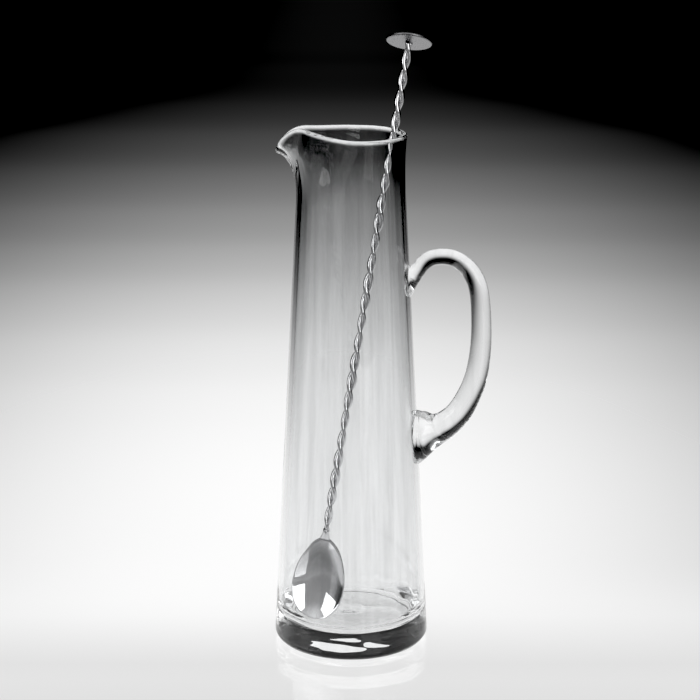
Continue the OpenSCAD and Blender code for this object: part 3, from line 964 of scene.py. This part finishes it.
@dataclass(frozen=True)
class SoftLight:
    """One rectangular soft light that stands upright and faces the pitcher's axis."""

    name: str
    place: tuple[float, float, float]
    size: tuple[float, float]
    power: float

    def build(self) -> bpy.types.Object:
        """Adds the light to the scene."""
        data = bpy.data.lights.new(self.name, "AREA")
        data.shape, data.energy = "RECTANGLE", self.power
        data.size, data.size_y = self.size
        lamp = bpy.data.objects.new(self.name, data)
        lamp.location = self.place
        lamp.rotation_euler = (Vector((0, 0, self.place[2])) - lamp.location).to_track_quat("-Z", "Y").to_euler()
        bpy.context.scene.collection.objects.link(lamp)
        return lamp


@dataclass
class Studio:
    """The pale glossy table with a painted pool of light that darkens with distance, the soft boxes, the dim room and
    the camera.
    """

    table_radius: float = 8.0
    table_sides: int = 96
    table_roughness: float = 0.03
    table_drop: float = 0.1 * MM
    camera_distance: float = 1.1028
    camera_height: float = 0.47885
    camera_turn: float = math.radians(6)
    camera_pitch: float = math.radians(74.615)
    lens: float = 101.64
    sensor: float = 36.0
    shift: tuple[float, float] = (-0.0016, 0.0)
    # Size, place and edge of the pool of light that is painted on the table.
    spot_width: float = 0.48
    spot_edge: float = 2.2
    spot_side: float = -0.03
    spot_rise: tuple[float, float] = (-0.09, 0.12)
    spot_depth: float = 3.0
    # Strength of the table's painted glow; the table is no lamp.
    painted_light_glow: float = 0.925
    glass_bounces: int = 64
    pale: float = 0.15
    table_gloss: float = 1.7
    black_point: float = 0.03
    room: float = 0.42
    room_low_share: float = 0.85
    room_rise: tuple[float, float] = (0.0, 0.8)
    room_near: tuple[float, float] = (-0.05, -0.6)
    ceiling: float = 0.7
    ceiling_rise: tuple[float, float] = (0.5, 0.9)
    # Brightness of the painted pool of light along the depth: dark on the camera's side, white round the object, fading
    # to black far behind.
    painted_light_stops: tuple[tuple[float, float], ...] = (
        (-3.0, 0.1), (-0.6, 0.12), (-0.25, 0.14), (-0.15, 0.2), (-0.12, 0.42), (-0.098, 0.745), (-0.04, 0.79),
        (0.03, 0.97), (0.21, 1.0), (0.4, 0.962), (0.54, 0.896), (0.71, 0.764), (0.91, 0.566), (1.1, 0.396),
        (1.32, 0.27), (1.6, 0.146), (1.91, 0.079), (2.23, 0.042), (2.7, 0.034))
    lights: tuple[SoftLight, ...] = (
        SoftLight("right_box", (1.763, -2.427, 1.42), (1.6, 2.16), 26.0),
        SoftLight("left_box", (-2.544, -1.59, 1.75), (1.83, 1.56), 18.0),
    )

    def table_material(self) -> bpy.types.Material:
        """Makes the table: a pool of light painted into its colour and glow, almost white round the object, dark
        towards the camera and black far away, as under one soft spot.
        """
        material = bpy.data.materials.new("table_with_painted_light")
        material.use_nodes = True
        tool = NodeTool(material.node_tree)
        shader = material.node_tree.nodes["Principled BSDF"]
        place = tool.add("ShaderNodeTexCoord")
        turned = tool.add("ShaderNodeMapping", vector_type="TEXTURE")
        turned.inputs["Rotation"].default_value = (0, 0, self.camera_turn)
        parts = tool.add("ShaderNodeSeparateXYZ")
        ramp = tool.add("ShaderNodeValToRGB")
        ramp.color_ramp.interpolation = "CARDINAL"
        while len(ramp.color_ramp.elements) < len(self.painted_light_stops):
            ramp.color_ramp.elements.new(0.5)
        for element, (where, value) in zip(ramp.color_ramp.elements, self.painted_light_stops):
            element.position = (where + self.spot_depth) / (2 * self.spot_depth)
            element.color = (value, value, value, 1.0)
        light = tool.add("ShaderNodeVectorMath", operation="SCALE")
        pale = tool.add("ShaderNodeVectorMath", operation="SCALE")
        pale.inputs["Scale"].default_value = self.pale
        tool.join(place.outputs["Object"], turned.inputs["Vector"])
        tool.join(turned.outputs["Vector"], parts.inputs["Vector"])
        tool.join(tool.span(parts.outputs["Y"], (-self.spot_depth, self.spot_depth), kind="LINEAR"), ramp.inputs["Fac"])
        # Painted falloff of the pool of light towards the sides, softer on the camera's side.
        side = tool.calc("SUBTRACT", parts.outputs["X"], self.spot_side)
        size = tool.calc("ABSOLUTE", tool.calc("DIVIDE", side, self.spot_width))
        edge = tool.calc("POWER", size, self.spot_edge)
        grown = tool.calc("MULTIPLY", edge, tool.span(parts.outputs["Y"], self.spot_rise))
        painted_side_falloff = tool.calc("POWER", math.exp(-1), grown)
        tool.join(ramp.outputs["Color"], light.inputs[0])
        tool.join(painted_side_falloff, light.inputs["Scale"])
        tool.join(light.outputs["Vector"], pale.inputs[0])
        # The painted pool of light sets both the table's colour and its glow.
        tool.join(pale.outputs["Vector"], shader.inputs["Base Color"])
        tool.join(light.outputs["Vector"], shader.inputs["Emission Color"])
        shader.inputs["Emission Strength"].default_value = self.painted_light_glow
        shader.inputs["Roughness"].default_value = self.table_roughness
        shader.inputs["IOR"].default_value = self.table_gloss
        return material

    def dim_room(self) -> bpy.types.World:
        """Makes the room: grey behind the camera's side, black on the far side, with a soft white ceiling."""
        world = bpy.data.worlds.new("dim_room")
        world.use_nodes = True
        tool = NodeTool(world.node_tree)
        place = tool.add("ShaderNodeTexCoord")
        parts = tool.add("ShaderNodeSeparateXYZ")
        tool.join(place.outputs["Generated"], parts.inputs["Vector"])
        near = tool.span(parts.outputs["Y"], self.room_near)
        high = tool.span(parts.outputs["Z"], self.room_rise, (self.room * self.room_low_share, self.room))
        top = tool.span(parts.outputs["Z"], self.ceiling_rise, (0.0, self.ceiling))
        both = tool.calc("MULTIPLY_ADD", near, high, top)
        tool.join(both, world.node_tree.nodes["Background"].inputs["Color"])
        return world

    def build(self) -> None:
        """Lays the table, sets the lights, the room and the camera."""
        bm = bmesh.new()
        bmesh.ops.create_circle(bm, segments=self.table_sides, radius=self.table_radius, cap_ends=True,
                                matrix=Matrix.Translation((0, 0, -self.table_drop)))
        mesh = bpy.data.meshes.new("table_top")
        bm.to_mesh(mesh)
        bm.free()
        mesh.materials.append(self.table_material())
        table = bpy.data.objects.new("table_top", mesh)
        bpy.context.scene.collection.objects.link(table)
        for light in self.lights:
            light.build()
        bpy.context.scene.world = self.dim_room()
        data = bpy.data.cameras.new("camera")
        data.lens, data.sensor_width = self.lens, self.sensor
        data.shift_x, data.shift_y = self.shift
        camera = bpy.data.objects.new("camera", data)
        camera.location = (self.camera_distance * math.sin(self.camera_turn),
                           -self.camera_distance * math.cos(self.camera_turn), self.camera_height)
        camera.rotation_euler = (self.camera_pitch, 0, self.camera_turn)
        bpy.context.scene.collection.objects.link(camera)
        bpy.context.scene.camera = camera
        view = bpy.context.scene.view_settings
        view.view_transform = "Standard"
        view.use_curve_mapping = True
        view.curve_mapping.black_level = (self.black_point,) * 3
        view.curve_mapping.update()
        for name in ("max_bounces", "transmission_bounces", "glossy_bounces"):
            setattr(bpy.context.scene.cycles, name, self.glass_bounces)


def main() -> None:
    """Builds every piece in order and sets the scene."""
    logging.basicConfig(level=logging.INFO, format="%(message)s")
    worn = hand_worn_group()
    blown = GlassFinish("fire_polished_glass", wave_scale=28.0, wave_depth=0.02 * MM).build(worn)
    drawn = GlassFinish("drawn_rod_glass", wave_scale=60.0, wave_depth=0.03 * MM).build(worn)
    steel = SteelFinish("mirror_steel").build(worn)
    # The disc's dark steel colour is painted shade for the dimmer reflection on its underside; its higher roughness is
    # a satin finish.
    satin_with_painted_shade = SteelFinish("satin_steel_painted_shade", color=(0.26, 0.26, 0.265, 1.0), low=0.3, high=0.42).build(worn)
    wire = SteelFinish("bright_wire", color=(0.78, 0.78, 0.79, 1.0), high=0.16).build(worn)
    BlownBody(blown).build()
    AppliedHandle(drawn).build()
    SpoonBowl(steel).build()
    SpoonNeck(steel).build()
    TwistedWire(wire, "stem_strand_a", "stem_wire_a", TWIST_START).build()
    TwistedWire(wire, "stem_strand_b", "stem_wire_b", TWIST_START + math.pi).build()
    StemDisc(satin_with_painted_shade).build()
    Studio().build()


if __name__ == "__main__":
    main()
